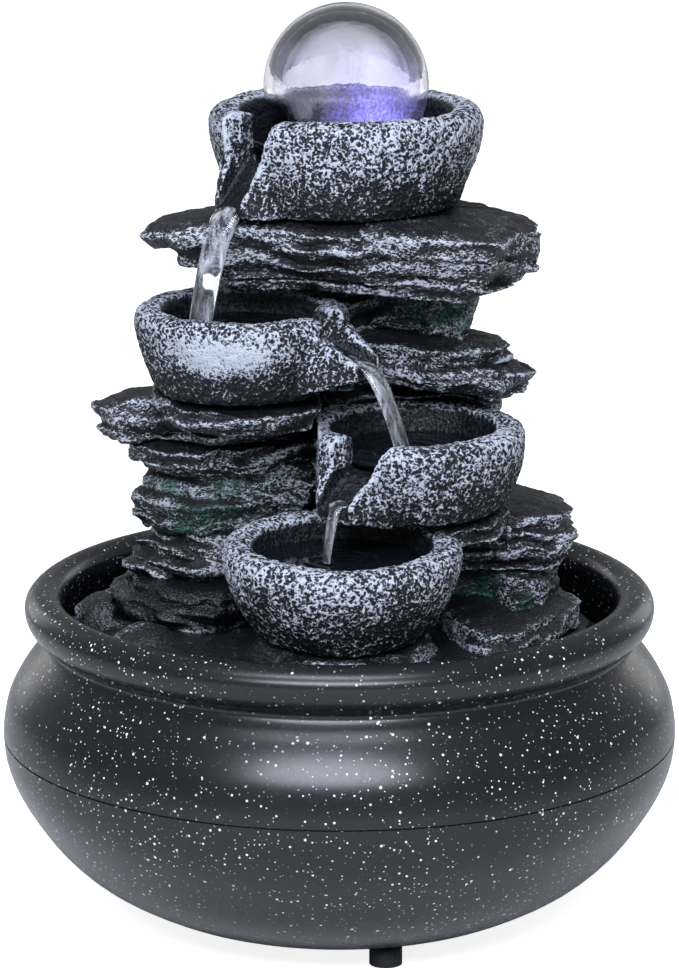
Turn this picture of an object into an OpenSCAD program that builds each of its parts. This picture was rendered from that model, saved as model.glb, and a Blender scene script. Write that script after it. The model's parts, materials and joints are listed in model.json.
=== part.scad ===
// Tabletop water fountain: a round basin, a tower of stacked slates carrying four spouted
// bowls, a glass ball on a lit seat, and the pump, tube and leads that make it run.
// Millimetres. +Z up, origin on the table under the middle of the basin, front towards -Y.

/* [Basin] */
// Greatest outer radius of the basin
basin_r = 104; // [103.5:0.5:106]
// Wall thickness of both basin shells
wall = 2.5; // [2:0.1:2.8]
// Height of the joint between the lower and the upper shell
seam_z = 59; // [58:0.5:60]
// Radius of one rubber foot
foot_r = 5; // [4:0.5:6]

/* [Rock tower] */
// Underside of the rock skirt, where it stands on the basin's posts
skirt_z = 84; // [83:0.5:85]
// Depth of the broken edges of the slates
chip_depth = 2.4; // [0:0.2:3]
// Forward tilt of the lowest bowl
front_tilt = 3; // [0:0.5:3.5]

/* [Ball and light] */
// Radius of the glass ball
ball_r = 25; // [24:0.5:25]
// Radius of the light's housing
led_r = 11.5; // [11:0.1:11.6]

/* [Pump and tube] */
// Outer radius of the pump's outlet
outlet_r = 4; // [3.5:0.1:4.2]
// Radius of a pump or light lead
lead_r = 1.5; // [1.2:0.1:1.6]
// Radius of the cable hole in the grommet
cable_r = 2.1; // [1.8:0.1:2.3]

/* [Hidden] */
$fn = 64;
fit = 0.08;
gap = 0.25;
cut = 200;

foot_ring = 53.9;
foot_turn = 15;
post_r = 5;
post_ring = 52;
floor_z = 5.5;
seam_gap = 0.5;

ball_at = [2, 10, 257.8];
riser_at = [3, 30.5];
lead_at = [3, 16.2];
spine_at = [3, 25];
spine_r = 13.2;
riser_r = outlet_r + fit + 1.5;

pump_x = riser_at[0];
pump_z = 28;
volute_y = riser_at[1];
shaft_r = 1;
grommet_z = 87.5;
grommet_y = basin_r - 14;

// Bowls: centre x, y, bottom z, height, outer radius, foot radius, inner radius, floor height,
// tilt, spout heading, spout reach, height of the spout's tip, half width of the channel,
// reach of the notch in the rim to the channel's left and to its right
TOP = [2, 10, 221.6, 30.6, 41.4, 34, 32, 4.6, 0, 217, 44, 2.4, 5.3, 15.5, 7.4];
LEFT = [-29.8, -9, 168.4, 26, 32.4, 25.6, 23.4, 6.5, 1, -29, 43.5, 11, 5, 8.6, 5];
RIGHT = [22, -19.4, 134.6, 25.4, 34, 28, 24.4, 6.5, 1, 234, 40.5, 6.6, 5, 12.4, 7];
FRONT = [0.9, -47.4, 102.6, 28.6, 35.6, 25.5, 26.4, 7, front_tilt, 0, 0, 0, 0, 0, 0];

// Flat on the left of the right bowl, beside the left stack of slates
right_bowl_cut = -6.4;

// Outlines of the slates, seen from above
CROWN = [[61, -12], [57, 4], [50, 14], [40, 20], [30, 36], [8, 45], [-16, 45], [-34, 32], [-43, 16],
    [-53, 3], [-60, -12], [-50, -19], [-26, -16], [-4, -25], [16, -31], [32, -37], [46, -34]];
NECK_UP = [[38, -4], [40, 14], [34, 32], [12, 42], [-14, 42], [-31, 35], [-37, 22], [-22, 14], [2, 14],
    [16, 11], [28, 4]];
UPPER = [[61, -3], [55, 8], [46, 16], [34, 32], [10, 43], [-14, 43], [-30, 34], [-34, 22], [-20, 12],
    [0, 8], [12, -4], [24, -12], [36, -15], [50, -15]];
BACK = [[49, 0], [49, 14], [40, 30], [14, 43], [-6.5, 43], [-6.5, 2], [8, -2], [30, -4]];
HIGH_L = [[-78, -8], [-72, 4], [-62, 10], [-52, 24], [-34, 36], [-7, 42], [-7, -6], [-22, -19],
    [-40, -25], [-58, -12], [-70, -15]];
LEDGE_L = [[-66, -4], [-62, 10], [-50, 26], [-32, 37], [-7, 42], [-7, 4], [-24, -12], [-42, -19],
    [-57, -13]];
MID_L = [[-67, 0], [-63, 14], [-50, 28], [-30, 38], [-7, 42], [-7, -3], [-28, -12], [-44, -17], [-58, -10]];
FOOT_L = [[-72, 4], [-66, 20], [-50, 34], [-30, 42], [-7, 45], [-7, -7], [-24, -15], [-38, -27], [-54, -25],
    [-65, -13]];
LOW_R = [[74, -4], [70, 8], [60, 20], [46, 32], [16, 43], [-6.5, 43], [-6.5, -8], [14, -14], [36, -23],
    [50, -24], [64, -23], [72, -18]];
NECK_R = [[67, 4], [62, 16], [46, 28], [16, 40], [-6.5, 42], [-6.5, -6], [20, -10], [42, -8], [52, -23],
    [62, -15]];
FOOT_R = [[75, -4], [70, 12], [60, 24], [44, 36], [16, 44], [-6.5, 45], [-6.5, -6], [30, -18],
    [36, -40], [44, -54], [56, -44], [68, -26]];
SKIRT = [[82, 0], [73, 26], [54, 50], [28, 65], [0, 69], [-28, 65], [-54, 50], [-73, 26], [-82, 0],
    [-76, -30], [-58, -56], [-31, -74], [0, -79], [31, -74], [58, -56], [76, -30]];

// Middle of the pump's lead, from the pump's side round to the cable grommet
LEAD_ROUTE = [[23, 4, 34], [28, 4.4, 34], [32.5, 9, 35], [35, 18, 38], [35, 30, 42], [33, 42, 46],
    [28, 52, 52], [20, 60, 58], [11, 66, 65], [4, 70, 72], [0, 73, 78], [0, 76, 83], [0, 79.5, 86.4],
    [0, 84, 87.5]];

// A smooth curve through the points p, with n steps between neighbours
function curve(a, b, c, d, t) =
    0.5 * (2 * b + (c - a) * t + (2 * a - 5 * b + 4 * c - d) * t * t + (3 * b - a - 3 * c + d) * t * t * t);
function spline(p, n = 3) = [
    for (i = [0:len(p) - 2])
        for (k = [0:n - 1])
            curve(p[max(i - 1, 0)], p[i], p[i + 1], p[min(i + 2, len(p) - 1)], k / n),
    p[len(p) - 1]
];

// The same curve moved to its left by d
function inset(p, d) = [
    for (i = [0:len(p) - 1])
        let (t = p[min(i + 1, len(p) - 1)] - p[max(i - 1, 0)])
            p[i] + d * [-t[1], t[0]] / norm(t)
];
function flip(p) = [for (i = [len(p) - 1:-1:0]) p[i]];
function rest(p) = [for (i = [1:len(p) - 1]) p[i]];

// A repeatable scatter between -0.5 and 0.5
function scatter(k, seed) = let (v = sin(k * 127.1 + seed * 311.7) * 437.58) v - floor(v) - 0.5;

// A slate's broken edge: each side of the outline in three, its points moved in or out
function broken(p, seed) = [
    for (i = [0:len(p) - 1])
        for (k = [0:2])
            let (a = p[i], b = p[(i + 1) % len(p)], t = b - a)
                a + t * k / 3 + chip_depth * scatter(3 * i + k, seed) * [-t[1], t[0]] / norm(t)
];
function middle(p) = [for (axis = [0, 1]) (max([for (q = p) q[axis]]) + min([for (q = p) q[axis]])) / 2];

// Layers of one slate: each is [bottom, top, size, shift x, shift y]
module slate(outline, layers, seed) {
    c = middle(outline);
    for (i = [0:len(layers) - 1]) {
        l = layers[i];
        translate([l[3], l[4], l[0]])
            linear_extrude(l[1] - l[0])
                polygon(broken([for (p = outline) c + (p - c) * l[2]], seed + i));
    }
}

// The hole that the spine needs in the slates around it
module spine_hole() {
    translate([spine_at[0], spine_at[1], skirt_z - 1])
        cylinder(r = spine_r + gap, h = cut);
}

module basin_lower_shell() {
    outer = spline([[50, floor_z], [58, 6.4], [basin_r - 37, 10], [basin_r - 25.2, 17],
        [basin_r - 15.4, 26], [basin_r - 8, 36], [basin_r - 3.2, 44.5], [basin_r - 0.7, 52],
        [basin_r, seam_z - seam_gap / 2]]);
    color("#1b1c20") {
        rotate_extrude($fn = 128)
            polygon(concat([[0, floor_z]], outer, [[basin_r - wall, seam_z - seam_gap / 2]],
                rest(flip(inset(outer, wall))), [[0, floor_z + wall]]));
        for (a = [30, 150, 210, 330])
            rotate([0, 0, a])
                translate([post_ring, 0, floor_z + 1.5])
                    cylinder(r = post_r, h = skirt_z - floor_z - 1.5);
    }
}

module basin_upper_shell() {
    outer = spline([[basin_r, seam_z + seam_gap / 2], [basin_r - 0.2, 63], [basin_r - 1.6, 70],
        [basin_r - 4.4, 76], [basin_r - 8, 81.5], [basin_r - 11.6, 85.6], [basin_r - 13.5, 88.4],
        [basin_r - 12.7, 90.2], [basin_r - 9.9, 92.2], [basin_r - 7.7, 95.5], [basin_r - 7.1, 99],
        [basin_r - 8, 101.5], [basin_r - 10.5, 103.6], [basin_r - 14, 104.6], [basin_r - 17.2, 103],
        [basin_r - 18.4, 100.5]]);
    inner = concat([[basin_r - 18.4, 97], [basin_r - 17.4, 94.4], [basin_r - 16.2, 92.6]],
        spline([[basin_r - 16.2, 84], [basin_r - 12, 80.8], [basin_r - 7.2, 74.8], [basin_r - 4.2, 68.8],
            [basin_r - 2.7, 62.6], [basin_r - wall, seam_z + seam_gap / 2]]));
    color("#1b1c20")
        difference() {
            rotate_extrude($fn = 128)
                polygon(concat(outer, inner));
            translate([0, grommet_y, grommet_z])
                rotate([-90, 0, 0])
                    rotate_extrude()
                        polygon([[0, -6], [3.3, -6], [3.3, 0], [4.7, 0], [4.7, 9], [0, 9]]);
        }
}

module basin_gasket() {
    color("black")
        translate([0, 0, seam_z - seam_gap / 2])
            rotate_extrude($fn = 128)
                translate([basin_r - wall + 0.1, 0])
                    square([wall - 0.8, seam_gap]);
}

module rubber_feet() {
    color("#101010")
        for (a = [-90:120:150])
            rotate([0, 0, a + foot_turn])
                translate([foot_ring, 0, 0])
                    difference() {
                        cylinder(r = foot_r, h = floor_z);
                        translate([0, 0, -1])
                            cylinder(r = 1.6, h = 3.5);
                    }
}

module cable_grommet() {
    color("#141414")
        translate([0, grommet_y, grommet_z])
            rotate([-90, 0, 0])
                difference() {
                    union() {
                        cylinder(r = 4.4, h = 1.6);
                        translate([0, 0, -4.6])
                            cylinder(r = 3.2, h = 5);
                        translate([0, 0, -5])
                            cylinder(r = 4.3, h = 1.7);
                    }
                    translate([0, 0, -6])
                        cylinder(r = cable_r, h = 9);
                }
}

module pump_housing() {
    color("#222226")
        difference() {
            union() {
                translate([pump_x - 20, -16, 12])
                    cube([40, volute_y + 6, 32]);
                translate([pump_x - 20, -16, 40])
                    cube([40, 30, 4]);
            }
            translate([pump_x, -12, pump_z])
                rotate([-90, 0, 0])
                    cylinder(r = 9, h = 60);
            translate([lead_at[0], lead_at[1] - 1.2, 43])
                cylinder(r = 5.2, h = 20);
        }
}

module pump_volute() {
    color("#2c2c31")
        difference() {
            union() {
                translate([pump_x, volute_y - 9.9, pump_z])
                    rotate([-90, 0, 0])
                        cylinder(r = 15, h = 19.8);
                translate([pump_x, volute_y, pump_z])
                    cylinder(r = 6.5, h = 24);
                translate([pump_x, volute_y, pump_z])
                    cylinder(r = outlet_r, h = 46);
            }
            translate([pump_x, volute_y - 20, pump_z])
                rotate([-90, 0, 0])
                    cylinder(r = 12, h = 40);
            translate([pump_x, volute_y, pump_z])
                cylinder(r = outlet_r - 1.2, h = 60);
        }
}

module intake_cover() {
    color("#2c2c31")
        translate([pump_x, volute_y + 10, pump_z])
            rotate([-90, 0, 0])
                difference() {
                    cylinder(r = 15, h = 3);
                    translate([0, 0, -1])
                        cylinder(r = 3.2, h = 6);
                    for (a = [0:45:315])
                        rotate([0, 0, a])
                            translate([9, 0, -1])
                                cylinder(r = 2.2, h = 6);
                }
}

module suction_cups() {
    color("#3a3a3d")
        for (x = [-14, 14], y = [-10, 12])
            translate([pump_x + x, y, floor_z + wall])
                cylinder(r1 = 5, r2 = 2.4, h = 12 - floor_z - wall);
}

module rotor_shaft() {
    color("#d8d8d4")
        translate([pump_x, -10.5, pump_z])
            rotate([-90, 0, 0])
                cylinder(r = shaft_r, h = volute_y + 10.5 + 8);
}

module shaft_bushes() {
    color("#0e0e0e")
        for (end = [[-11.8, -90], [volute_y + 9.4, 90]])
            translate([pump_x, end[0], pump_z])
                rotate([end[1], 0, 0])
                    difference() {
                        cylinder(r = 3, h = 4);
                        translate([0, 0, 1.3])
                            cylinder(r = shaft_r, h = 10);
                    }
}

module impeller() {
    color("#4a4c52")
        translate([pump_x, volute_y - 8.6, pump_z])
            rotate([-90, 0, 0])
                difference() {
                    union() {
                        cylinder(r = 10.4, h = 1.6);
                        cylinder(r = 3, h = 12);
                        for (a = [0:60:300])
                            rotate([0, 0, a])
                                translate([2, -0.6, 0])
                                    cube([8.2, 1.2, 9]);
                    }
                    translate([0, 0, -1])
                        cylinder(r = shaft_r + 0.05, h = 20);
                }
}

module rotor_magnet() {
    color("#5b5b60")
        translate([pump_x, -7, pump_z])
            rotate([-90, 0, 0])
                difference() {
                    cylinder(r = 8, h = volute_y - 8.6 + 7);
                    translate([0, 0, -1])
                        cylinder(r = shaft_r + 0.05, h = 60);
                }
}

module flow_adjuster() {
    color("#3c3e45")
        translate([pump_x, volute_y + 13.3, pump_z])
            rotate([-90, 0, 0])
                difference() {
                    union() {
                        cylinder(r = 13, h = 2);
                        translate([-1.5, -11, 1.5])
                            cube([3, 22, 4]);
                    }
                    translate([0, 0, -1])
                        cylinder(r = 3.2, h = 10);
                    for (a = [0:90:270])
                        rotate([0, 0, a])
                            translate([9, 0, -1])
                                cylinder(r = 2, h = 4);
                }
}

// A round lead swept along the route p
function heading(p, i) =
    let (t = p[min(i + 1, len(p) - 1)] - p[max(i - 1, 0)]) t / norm(t);
function ring(p, i, r, sides) =
    let (t = heading(p, i), u = cross(t, [1, 0.3, 0]), v = u / norm(u), w = cross(t, v))
        [for (k = [0:sides - 1]) p[i] + r * (cos(360 * k / sides) * v + sin(360 * k / sides) * w)];

module swept(p, r, sides = 8) {
    n = len(p);
    points = [for (i = [0:n - 1]) each ring(p, i, r, sides)];
    walls = [
        for (i = [0:n - 2])
            for (k = [0:sides - 1])
                let (a = i * sides + k, b = i * sides + (k + 1) % sides)
                    [a, b, b + sides, a + sides]
    ];
    ends = [[for (k = [sides - 1:-1:0]) k], [for (k = [0:sides - 1]) (n - 1) * sides + k]];
    polyhedron(points, concat(walls, ends), convexity = 6);
}

module pump_lead() {
    color("#0c0c0c")
        swept(spline(LEAD_ROUTE, 3), lead_r);
}

module led_socket() {
    color("#e4e2da")
        translate([lead_at[0], lead_at[1] - 1.2, 43.2])
            difference() {
                cylinder(r = 5, h = 28);
                translate([0, 1.2, 16])
                    cylinder(r = 3.4, h = 20);
            }
}

// The outer profile of a bowl with its foot at height 0
function bowl_side(b) = spline([[b[5] - 4, 0], [b[5], 1.2], [b[5] + 0.34 * (b[4] - b[5]), 0.22 * b[3]],
    [b[5] + 0.78 * (b[4] - b[5]), 0.52 * b[3]], [b[4], 0.8 * b[3]], [b[4] - 0.9, 0.94 * b[3]],
    [(b[4] + b[6]) / 2 + 0.8, b[3]]]);
function bowl_hollow(b) = spline([[b[6] + 1.2, b[3] - 0.4], [b[6], b[3] - 2.4], [b[6] - 1, 0.7 * b[3]],
    [b[6] - 4, 0.45 * b[3]], [b[6] - 9, b[7] + 1], [b[6] - 14, b[7]]]);

// Side view of a spout, from inside the bowl out to its tip
function spout_side(b) = [[b[6] - 4, b[3] - 1], [b[6] + 3, b[3] - 0.8], [b[10], b[11] + 2],
    [b[10] - 0.6, max(0.3, b[11] - 3)], [b[5] - 2, max(0.2, b[11] - 9)], [b[6] - 4, b[7] - 1]];
function channel_side(b) = [[b[6] - 14, b[3] + 9], [b[10] + 9, b[3] + 9], [b[10] + 9, b[11] - 1],
    [b[10], b[11]], [b[6] + 2, b[11] + 0.42 * (b[3] - b[11])], [b[6] - 14, b[11] + 0.52 * (b[3] - b[11])]];

// Front view of the notch in the rim: as wide as the channel below, and wider at the rim
function notch_front(b) = [[-b[12] + 0.4, b[11] + 1.6], [b[12] - 0.4, b[11] + 1.6],
    [b[13], b[3] + 2], [-b[14], b[3] + 2]];

module side_prism(p, half) {
    rotate([90, 0, 0])
        translate([0, 0, -half])
            linear_extrude(2 * half)
                polygon(p);
}
module plan_prism(p) {
    translate([0, 0, -5])
        linear_extrude(60)
            polygon(p);
}

module front_prism(p, near, far) {
    translate([near, 0, 0])
        rotate([90, 0, 90])
            linear_extrude(far - near)
                polygon(p);
}

module bowl(b) {
    w = b[12];
    difference() {
        union() {
            rotate_extrude($fn = 96)
                polygon(concat([[0, 0]], bowl_side(b), bowl_hollow(b), [[0, b[7]]]));
            if (b[10] > 0)
                rotate([0, 0, b[9]])
                    intersection() {
                        side_prism(spout_side(b), 30);
                        plan_prism([[b[6] - 3, -w - 6.5], [b[4] - 3, -w - 6.5], [b[10], -w - 1.6],
                            [b[10], w + 1.6], [b[4] - 3, w + 6.5], [b[6] - 3, w + 6.5]]);
                    }
        }
        if (b[10] > 0)
            rotate([0, 0, b[9]])
                intersection() {
                    side_prism(channel_side(b), 30);
                    union() {
                        plan_prism([[b[6] - 12, -w - 0.6], [b[4], -w - 0.2], [b[10] + 5, -w + 0.4],
                            [b[10] + 5, w - 0.4], [b[4], w + 0.2], [b[6] - 12, w + 0.6]]);
                        front_prism(notch_front(b), b[6] - 8, b[10] + 5);
                    }
                }
    }
}

module placed(b) {
    translate([b[0], b[1], b[2]])
        rotate([b[8], 0, 0])
            children();
}

// The room that a bowl takes up, for cutting the slates around it
module bowl_room(b) {
    placed(b)
        rotate_extrude($fn = 96)
            polygon(concat([[0, -gap]], [for (p = bowl_side(b)) p + [gap, p[1] > b[3] / 2 ? gap : -gap]],
                [[b[6], b[3] + 8], [0, b[3] + 8]]));
}

module rock_skirt() {
    color("#26282b")
        difference() {
            union() {
                slate(SKIRT, [[skirt_z, 90, 1, 0, 0], [89.5, 94, 0.93, 0, 0], [93.5, 96, 0.82, 0, -2]], 1);
                translate([-71, -3, 92])
                    sphere(r = 11.5);
                translate([-58, -28, 86])
                    sphere(r = 14);
                translate([56, -44, 84.2])
                    sphere(r = 13);
                translate([FRONT[0], FRONT[1] + 1, 92])
                    cylinder(r1 = 30, r2 = 24, h = 12);
            }
            translate([-100, -100, skirt_z - 40])
                cube([200, 200, 40]);
            translate([-9, 62, skirt_z - 1])
                cube([18, 30, 30]);
            spine_hole();
            bowl_room(FRONT);
            slate(grown(FOOT_L), [[96, 120, 1, 0, 0]], 0);
            slate(grown(FOOT_R), [[96, 120, 1, 0, 0]], 0);
        }
}
function grown(p) = let (c = middle(p)) [for (q = p) c + (q - c) * 1.04];

module slate_left_foot() {
    color("#2b2e33")
        difference() {
            slate(FOOT_L, [[96, 101, 0.97, 0, 0], [100.6, 105, 1, 0, 0], [104.6, 108.4, 0.9, 3, 0]], 3);
            spine_hole();
            bowl_room(FRONT);
            right_side();
        }
}
module slate_left_low() {
    color("#2b2e33")
        difference() {
            slate(MID_L, [[108.4, 112, 0.96, 0, 1], [111.6, 116, 0.98, 0, 0], [115.6, 120, 0.9, 3, 1],
                [119.6, 123.4, 0.86, 5, 2]], 7);
            spine_hole();
            bowl_room(FRONT);
            right_side();
        }
}
module slate_left_mid() {
    color("#24302c")
        difference() {
            slate(MID_L, [[123.4, 128, 0.94, 1, 0], [127.6, 135, 1, 0, 0], [134.6, 139.4, 0.9, 3, 1],
                [139, 143, 0.84, 4, 2]], 12);
            spine_hole();
            bowl_room(FRONT);
            bowl_room(RIGHT);
            right_side();
        }
}
module slate_left_ledge() {
    color("#2b2e33")
        difference() {
            slate(LEDGE_L, [[143, 147, 0.92, 2, 0], [146.6, 152.8, 1, 0, 0]], 18);
            spine_hole();
            bowl_room(RIGHT);
            right_side();
        }
}
module slate_left_high() {
    color("#2b2e33")
        difference() {
            union() {
                slate(HIGH_L, [[152.8, 157, 0.95, 1, 0], [156.6, 161.6, 1, 0, 0],
                    [161.2, 165.8, 0.95, 0, 0]], 22);
                translate([LEFT[0], LEFT[1], 161])
                    cylinder(r = 27, h = 8, $fn = 11);
            }
            spine_hole();
            bowl_room(LEFT);
            bowl_room(RIGHT);
            right_side();
        }
}
// Everything to the right of the split between the left and the right stack
module right_side() {
    translate([-7, -100, 80])
        cube([200, 200, 90]);
}
module left_side() {
    translate([-206.5, -100, 80])
        cube([200, 200, 84]);
}

module slate_right_foot() {
    color("#2b2e33")
        difference() {
            slate(FOOT_R, [[96, 100, 1, 0, 0], [99.6, 103, 0.95, 0, 0]], 31);
            spine_hole();
            bowl_room(FRONT);
            left_side();
        }
}
module slate_right_neck() {
    color("#24302c")
        difference() {
            slate(NECK_R, [[103, 108, 1, 0, 0], [107.6, 113.8, 0.96, 0, 1]], 36);
            spine_hole();
            bowl_room(FRONT);
            left_side();
        }
}
module slate_right_low() {
    color("#2b2e33")
        difference() {
            union() {
                slate(LOW_R, [[113.8, 119, 0.93, 1, 1], [118.6, 124, 1, 0, 0], [123.6, 128.4, 0.99, 1, 0],
                    [128, 132.8, 0.92, 0, 1]], 41);
                translate([RIGHT[0], RIGHT[1], 129])
                    cylinder(r = 29, h = 8, $fn = 11);
            }
            spine_hole();
            bowl_room(FRONT);
            bowl_room(RIGHT);
            left_side();
            translate([-100, -100, 135])
                cube(200);
        }
}
module slate_back() {
    color("#2b2e33")
        difference() {
            slate(BACK, [[135, 141, 1, 0, 0], [140.6, 148, 0.95, -1, 0], [147.6, 156, 1, 0, 0],
                [155.6, 164, 0.97, 0, 0]], 47);
            spine_hole();
            bowl_room(RIGHT);
            left_side();
        }
}
module slate_upper() {
    color("#2b2e33")
        difference() {
            slate(UPPER, [[164, 168, 0.9, 1, 1], [167.6, 172, 0.96, 1, 0], [171.6, 176, 1, 0, 0],
                [175.6, 182, 0.84, -1, -1]], 52);
            spine_hole();
            bowl_room(LEFT);
            bowl_room(RIGHT);
            slate(grown(HIGH_L), [[150, 170.4, 1, 0, 0]], 0);
        }
}
module slate_upper_neck() {
    color("#24302c")
        difference() {
            slate(NECK_UP, [[182, 187, 0.97, 0, 0], [186.6, 193, 1, 0, 0], [192.6, 198, 1.05, 0, 0]], 58);
            spine_hole();
            bowl_room(LEFT);
        }
}
module slate_crown() {
    color("#2b2e33")
        difference() {
            slate(CROWN, [[198, 203, 0.72, 5.5, 2], [202.6, 207.4, 0.84, 6, 1], [207, 214.4, 0.94, 3, 1],
                [214, 221.4, 1, 0, 0]], 63);
            spine_hole();
        }
}

module rock_spine() {
    color("#202225")
        difference() {
            translate([spine_at[0], spine_at[1], skirt_z])
                cylinder(r = spine_r, h = 221.4 - skirt_z);
            translate([riser_at[0], riser_at[1], skirt_z - 1])
                cylinder(r = riser_r + gap, h = cut);
            translate([lead_at[0], lead_at[1], skirt_z - 1])
                cylinder(r = lead_r + gap, h = cut);
        }
}

module top_bowl() {
    color("#8f9294")
        difference() {
            placed(TOP)
                bowl(TOP);
            translate([riser_at[0], riser_at[1], TOP[2] - 1])
                cylinder(r = riser_r + gap, h = 30);
            translate([lead_at[0], lead_at[1], TOP[2] - 1])
                cylinder(r = lead_r + gap, h = 9);
        }
}
module left_bowl() {
    color("#9b9ea0")
        placed(LEFT)
            bowl(LEFT);
}
module right_bowl() {
    color("#9b9ea0")
        difference() {
            placed(RIGHT)
                bowl(RIGHT);
            translate([right_bowl_cut - 100, -100, 100])
                cube([100, 200, 100]);
        }
}
module front_bowl() {
    color("#9b9ea0")
        placed(FRONT)
            bowl(FRONT);
}

module riser_tube() {
    color("#dfe3e4")
        translate([riser_at[0], riser_at[1], 60])
            difference() {
                cylinder(r = riser_r, h = 172);
                translate([0, 0, -1])
                    cylinder(r = outlet_r + fit, h = 180);
            }
}

led_z = TOP[2] + TOP[7];
module led_housing() {
    color("#17181b")
        translate([ball_at[0], ball_at[1], led_z])
            difference() {
                cylinder(r = led_r, h = 5.4);
                translate([0, 0, 1.2])
                    cylinder(r = led_r - 1.5, h = 10);
                translate([lead_at[0] - ball_at[0], lead_at[1] - ball_at[1], -1])
                    cylinder(r = lead_r + gap, h = 5);
            }
}
module led_board() {
    color("#1d5b3a")
        translate([ball_at[0], ball_at[1], led_z + 1.9])
            difference() {
                cylinder(r = led_r - 1.7, h = 1);
                translate([lead_at[0] - ball_at[0], lead_at[1] - ball_at[1], -1])
                    cylinder(r = lead_r + gap, h = 5);
            }
}
module led_chips() {
    color("#f2f3ff")
        for (a = [30:120:270])
            translate([ball_at[0] + 4 * cos(a), ball_at[1] - 1 + 4 * sin(a), led_z + 2.9])
                translate([-1.25, -1.25, 0])
                    cube([2.5, 2.5, 0.7]);
}
module led_lens() {
    color("#cfd6ff", 0.6)
        translate([ball_at[0], ball_at[1], led_z + 3.8])
            cylinder(r = led_r - 1.6, h = 1.6);
}
module led_lead() {
    color("#0c0c0c")
        translate([lead_at[0], lead_at[1], 78])
            cylinder(r = lead_r, h = led_z + 3.6 - 78);
}
module led_plug() {
    color("#e4e2da")
        translate([lead_at[0], lead_at[1], 60])
            cylinder(r = 3.3, h = 18);
}

module ball_seat() {
    color("#1a1b1e")
        translate([ball_at[0], ball_at[1], led_z + 0.1])
            difference() {
                rotate_extrude()
                    polygon([[led_r + 0.5, 0], [led_r + 3.1, 0], [led_r + 3.1, 8.4], [led_r + 2.5, 9.6],
                        [led_r + 0.8, 9.2], [led_r + 0.5, 8.6]]);
                for (a = [30:120:270])
                    rotate([0, 0, a])
                        translate([led_r - 2, -2, -1])
                            cube([8, 4, 4]);
            }
}

module crystal_ball() {
    color("#e6ecff", 0.5)
        translate(ball_at)
            sphere(r = ball_r, $fn = 96);
}

basin_lower_shell();
basin_upper_shell();
basin_gasket();
rubber_feet();
cable_grommet();
pump_housing();
pump_volute();
intake_cover();
suction_cups();
rotor_shaft();
shaft_bushes();
pump_lead();
led_socket();
impeller();
rotor_magnet();
flow_adjuster();
rock_skirt();
slate_left_foot();
slate_left_low();
slate_left_mid();
slate_left_ledge();
slate_left_high();
slate_right_foot();
slate_right_neck();
slate_right_low();
slate_back();
slate_upper();
slate_upper_neck();
slate_crown();
rock_spine();
top_bowl();
left_bowl();
right_bowl();
front_bowl();
riser_tube();
led_housing();
led_board();
led_chips();
led_lens();
led_lead();
led_plug();
ball_seat();
crystal_ball();
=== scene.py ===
"""Looks of the tabletop fountain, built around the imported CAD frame. Tables are in millimetres."""
import json
import math
import bmesh
import bpy
import numpy as np
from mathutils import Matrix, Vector

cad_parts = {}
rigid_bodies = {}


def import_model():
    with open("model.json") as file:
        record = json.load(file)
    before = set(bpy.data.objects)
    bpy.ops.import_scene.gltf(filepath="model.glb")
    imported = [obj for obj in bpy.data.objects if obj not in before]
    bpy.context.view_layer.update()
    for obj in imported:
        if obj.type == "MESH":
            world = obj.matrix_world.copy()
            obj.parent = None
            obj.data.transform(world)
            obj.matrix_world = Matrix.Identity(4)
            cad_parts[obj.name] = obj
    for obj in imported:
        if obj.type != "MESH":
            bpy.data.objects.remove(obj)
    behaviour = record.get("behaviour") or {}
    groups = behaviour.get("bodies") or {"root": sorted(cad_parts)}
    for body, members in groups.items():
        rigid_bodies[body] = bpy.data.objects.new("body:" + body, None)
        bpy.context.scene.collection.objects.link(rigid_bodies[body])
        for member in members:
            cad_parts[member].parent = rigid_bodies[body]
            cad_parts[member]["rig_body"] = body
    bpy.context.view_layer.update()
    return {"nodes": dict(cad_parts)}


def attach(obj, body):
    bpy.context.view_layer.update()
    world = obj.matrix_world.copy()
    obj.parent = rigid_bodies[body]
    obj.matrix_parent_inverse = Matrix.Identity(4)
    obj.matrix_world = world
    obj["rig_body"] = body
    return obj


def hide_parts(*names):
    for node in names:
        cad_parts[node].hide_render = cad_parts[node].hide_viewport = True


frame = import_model()
MM = 0.001

# Bowls: centre, rim height, inner radius at the rim, heading of the spout in degrees,
# half width of its channel, reach and height of the spout's tip, and height of the water
BOWLS = {
    "top_bowl": dict(at=(2, 10), rim=252.2, inner=32, foot=221.6, heading=217, half=5.3, reach=44, tip=224,
                     water=242.5),
    "left_bowl": dict(at=(-29.8, -9), rim=194.4, inner=23.4, foot=168.4, heading=-29, half=5, reach=43.5,
                      tip=179.4, water=187.5),
    "right_bowl": dict(at=(22, -19.4), rim=160, inner=24.4, foot=134.6, heading=234, half=5, reach=40.5,
                       tip=141.2, water=152.5),
    "front_bowl": dict(at=(0.9, -47.4), rim=131.2, inner=26.4, foot=102.6, heading=None, half=0, reach=0,
                       tip=0, water=124.8),
}


# ---------------------------------------------------------------- repeatable noise on arrays of points

def smoothstep(low, high, x):
    t = np.clip((x - low) / (high - low), 0, 1)
    return t * t * (3 - 2 * t)


def lattice(i, j, k, seed):
    """A repeatable value from 0 to 1 at each whole-number point."""
    n = (i * 374761393 + j * 668265263 + k * 1442695041 + seed * 974634777) & 0xFFFFFFFF
    n = ((n ^ (n >> 13)) * 1274126177) & 0xFFFFFFFF
    n = ((n ^ (n >> 15)) * 2246822519) & 0xFFFFFFFF
    return ((n ^ (n >> 16)) & 0xFFFFFF) / float(0xFFFFFF)


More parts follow.
